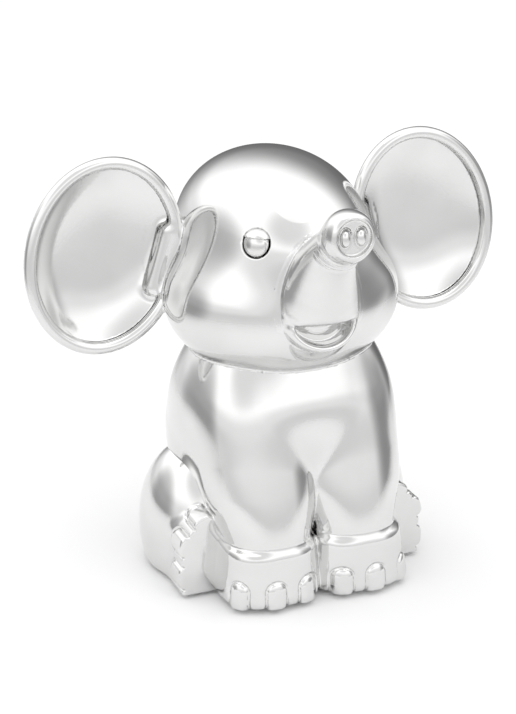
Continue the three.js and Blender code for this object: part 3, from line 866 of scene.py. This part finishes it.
def plate_shape(p):
    q = p - np.array((0, PLUG_Y, 0))
    plate = -join(-disc(q, (0, 0), *PLATE_R), -flat_ring(q, *PLATE_Z), 0.5)
    wide = np.hypot(q[:, 0], q[:, 1])
    plate = carve(plate, wide - PLUG_R - HOLE_GAP, 0.3)
    plate = carve(plate, np.maximum(wide - PLUG_FLANGE_R - RIM_GAP, q[:, 2] - RIM_STEP_Z), 0.3)
    at = np.array(SCREW_AT_R) * math.cos(math.radians(SCREW_TURNS[0]))
    hole = length(np.abs(q[:, :2]) - at)
    plate = carve(plate, np.maximum(hole - SCREW_SINK[0], q[:, 2] - SCREW_SINK[1]), 0.3)
    return carve(plate, hole - SCREW_HOLE_R, 0.2)


piece("base_plate", skin("base_plate", plate_shape, (-24, -14, 1), (24, 30, 5), 0.5), silver)

# ---- Plug ----
# A push-in plug moulded in black plastic. Its skirt grips the hole of the base plate, its flange
# stops it, and a notch for a fingernail or a coin lies across its face.
PLUG_Z = (1.4, 2.3, 3.0, 6.4)
PLUG_LINE_R = 12.2
PLUG_LINE_W = 0.35
NOTCH = (13.0, 6.0, 0.8)


def grained(name, colours, metallic, rough, grain, depth):
    """A material with a fine grain in its colour, its roughness and its surface."""
    material = bpy.data.materials.new(name)
    material.use_nodes = True
    shader = material.node_tree.nodes["Principled BSDF"]
    tree = Tree(material.node_tree)
    spot = tree.node("ShaderNodeTexCoord", None, out=3)
    speck = tree.node("ShaderNodeTexNoise", None, Vector=spot, Scale=grain, Detail=3.0)
    blend = tree.node("ShaderNodeMix", {"data_type": "RGBA"}, out=2)
    mixer = tree.last
    material.node_tree.links.new(speck.out, mixer.inputs["Factor"])
    mixer.inputs[6].default_value, mixer.inputs[7].default_value = colours
    material.node_tree.links.new(blend.out, shader.inputs["Base Color"])
    level = tree.node("ShaderNodeMapRange", None, speck, 0.3, 0.7, *rough)
    material.node_tree.links.new(level.out, shader.inputs["Roughness"])
    bumps = tree.node("ShaderNodeBump", None, Strength=1.0, Distance=depth, Height=speck)
    material.node_tree.links.new(bumps.out, shader.inputs["Normal"])
    shader.inputs["Metallic"].default_value = metallic
    return material


def plug_shape(p):
    q = p - np.array((0, PLUG_Y, 0))
    wide = np.hypot(q[:, 0], q[:, 1])
    flange = -join(PLUG_FLANGE_R - wide, -flat_ring(q, PLUG_Z[0], PLUG_Z[1]), 0.6)
    skirt = np.maximum(wide - PLUG_R, flat_ring(q, PLUG_Z[0] + 0.2, PLUG_Z[3]))
    skirt = carve(skirt, np.maximum(wide - PLUG_R + WALL, PLUG_Z[2] - q[:, 2]), 0.4)
    plug = join(flange, skirt, 0.3)
    line = np.hypot(wide - PLUG_LINE_R, q[:, 2] - PLUG_Z[0]) - PLUG_LINE_W
    plug = carve(plug, line, 0.2)
    notch = slab(q, (NOTCH[0] / 2, NOTCH[1] / 2, NOTCH[2]), (0, 0, PLUG_Z[0]), 0.35)
    return carve(plug, notch, 0.4)


BLACKS = ((0.010, 0.010, 0.011, 1), (0.016, 0.016, 0.017, 1))
plastic = grained("black_plastic", BLACKS, 0.0, (0.38, 0.55), 1500.0, 0.00001)
mesh = skin("base_plug", plug_shape, (-16.5, -8.5, 0.6), (16.5, 24.5, 7.4), 0.5)
piece("base_plug", mesh, plastic, body="plug")

# ---- Base screws ----
# Four self-cutting steel screws with a low domed head and a cross recess. They hold the base plate
# to the body, and each one has come to rest at its own angle.
SCREW_SEAT_Z = 2.7
SCREW_HEAD = (3.2, 3.2, 2.5)
SCREW_HEAD_R = 2.7
SHANK_R = 1.5
SHANK_L = 9.6
THREAD_H, THREAD_PITCH = 0.16, 0.5
CROSS = (0.36, 1.5, 0.9)
steel = grained(
    "screw_steel", ((0.50, 0.51, 0.52, 1), (0.62, 0.62, 0.63, 1)), 1.0, (0.22, 0.4), 900.0, 0.000004
)


def screw_at(x, y):
    def shape(p):
        q = p - np.array((x, y, SCREW_SEAT_Z))
        wide = np.hypot(q[:, 0], q[:, 1])
        head = np.maximum(egg(q, (0, 0, 0.6), SCREW_HEAD), q[:, 2])
        head = -join(-head, SCREW_HEAD_R - wide, 0.5)
        turn = math.radians(20 + 31 * x)
        u = np.abs(q[:, 0] * math.cos(turn) + q[:, 1] * math.sin(turn))
        v = np.abs(q[:, 1] * math.cos(turn) - q[:, 0] * math.sin(turn))
        narrow, long, deep = CROSS
        cross = np.minimum(np.maximum(u - narrow, v - long), np.maximum(v - narrow, u - long))
        head = carve(head, np.maximum(cross, q[:, 2] + deep), 0.2)
        wind = np.arctan2(q[:, 1], q[:, 0]) / 12.566
        thread = THREAD_H * np.abs(((q[:, 2] + wind) % THREAD_PITCH) * 4 - 1)
        shank = np.maximum((wide - SHANK_R + thread) * 0.7, flat_ring(q, -0.5, SHANK_L))
        return join(head, shank, 0.2)

    return shape


for i, turn in enumerate(SCREW_TURNS):
    x = SCREW_AT_R[0] * math.cos(math.radians(turn))
    y = PLUG_Y + SCREW_AT_R[1] * math.sin(math.radians(turn))
    name = f"base_screw_{i + 1}"
    mesh = skin(name, screw_at(x, y), (x - 3.4, y - 3.4, 0.2), (x + 3.4, y + 3.4, 13), 0.28)
    piece(name, mesh, steel)

# ---- Felt pads ----
# Four punched pieces of black felt, glued under the feet so that the plated bank doesn't scratch the
# shelf. The bank rests on them.
PAD_T = 0.7
PADS = (("front", 14.4, -27, 7.5, 7.5), ("rear", 34.8, 6, 6.2, 9.0))
FELTS = ((0.018, 0.019, 0.018, 1), (0.035, 0.036, 0.034, 1))
felt = grained("felt", FELTS, 0.0, (0.95, 1.0), 2500.0, 0.0002)


def pad_at(x, y, rx, ry):
    def shape(p):
        return -join(-disc(p, (x, y), rx, ry), -flat_ring(p, 0.0, PAD_T), 0.5)

    return shape


for side, word in ((-1, "right"), (1, "left")):
    for place, across, y, rx, ry in PADS:
        name = f"pad_{place}_{word}"
        x = across * side
        box_low, box_high = (x - rx - 1, y - ry - 1, -0.5), (x + rx + 1, y + ry + 1, 1.2)
        piece(name, skin(name, pad_at(x, y, rx, ry), box_low, box_high, 0.35), felt)

# ---- Screws inside the castings ----
# The screws that hold ears, trunk, head, thighs and tail sit inside the hollow castings. They stay
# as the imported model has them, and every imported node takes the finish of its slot.
looks = {"screw": steel, "plug": plastic, "pad": felt}
for name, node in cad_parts.items():
    finish = next((look for word, look in looks.items() if word in name), silver)
    for part_slot in node.material_slots:
        part_slot.material = finish
